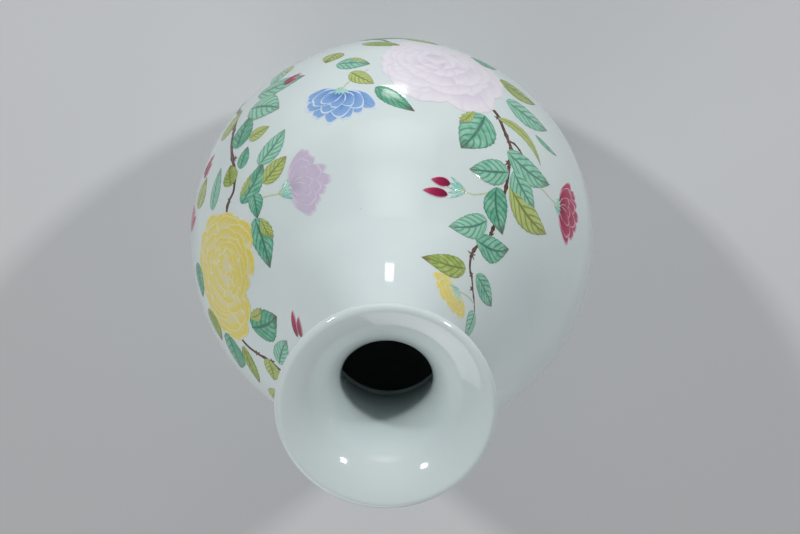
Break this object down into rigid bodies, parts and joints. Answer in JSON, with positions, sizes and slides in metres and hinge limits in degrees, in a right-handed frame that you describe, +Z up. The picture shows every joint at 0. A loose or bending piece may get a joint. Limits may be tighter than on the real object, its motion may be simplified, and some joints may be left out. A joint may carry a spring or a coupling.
{
  "type": "yuhuchunping vase",
  "caption": "Pear-shaped porcelain bottle vase with a slender neck, a trumpet mouth and a ring foot, glazed white and painted with flowering branches in enamels; holds water or cut stems.",
  "frame": {"origin": "centre of the foot ring's resting face", "axes": "+Z up along the vase's axis of revolution, -Y towards the front of the painting"},
  "size_m": [0.185, 0.1852, 0.2803],
  "materials": {
    "biscuit_porcelain": "bare fired porcelain, matt and a little warm",
    "porcelain_body": "fired porcelain under the glaze",
    "slip": "fired porcelain slip",
    "clear_glaze": "glossy transparent glaze with a faint blue-green cast",
    "brown_enamel": "glossy overglaze enamel",
    "stem_green_enamel": "glossy overglaze enamel",
    "leaf_green_enamel": "glossy overglaze enamel",
    "lime_enamel": "glossy overglaze enamel",
    "turquoise_enamel": "glossy overglaze enamel",
    "yellow_enamel": "glossy opaque overglaze enamel",
    "pink_enamel": "glossy opaque overglaze enamel",
    "lilac_enamel": "glossy opaque overglaze enamel",
    "blue_enamel": "glossy overglaze enamel",
    "ruby_enamel": "glossy overglaze enamel"
  },
  "bodies": {
    "root": {"foot_ring": "biscuit_porcelain", "foot_slip_joint": "slip", "lower_body": "porcelain_body", "belly_slip_joint": "slip", "upper_body": "porcelain_body", "neck_slip_joint": "slip", "neck": "porcelain_body", "outer_glaze": "clear_glaze", "inner_glaze": "clear_glaze", "base_glaze": "clear_glaze", "branch_enamel": "brown_enamel", "stem_enamel": "stem_green_enamel", "green_leaf_enamel": "leaf_green_enamel", "lime_leaf_enamel": "lime_enamel", "calyx_enamel": "turquoise_enamel", "yellow_flower_enamel": "yellow_enamel", "pink_flower_enamel": "pink_enamel", "lilac_flower_enamel": "lilac_enamel", "blue_flower_enamel": "blue_enamel", "ruby_flower_enamel": "ruby_enamel"}
  },
  "joints": []
}
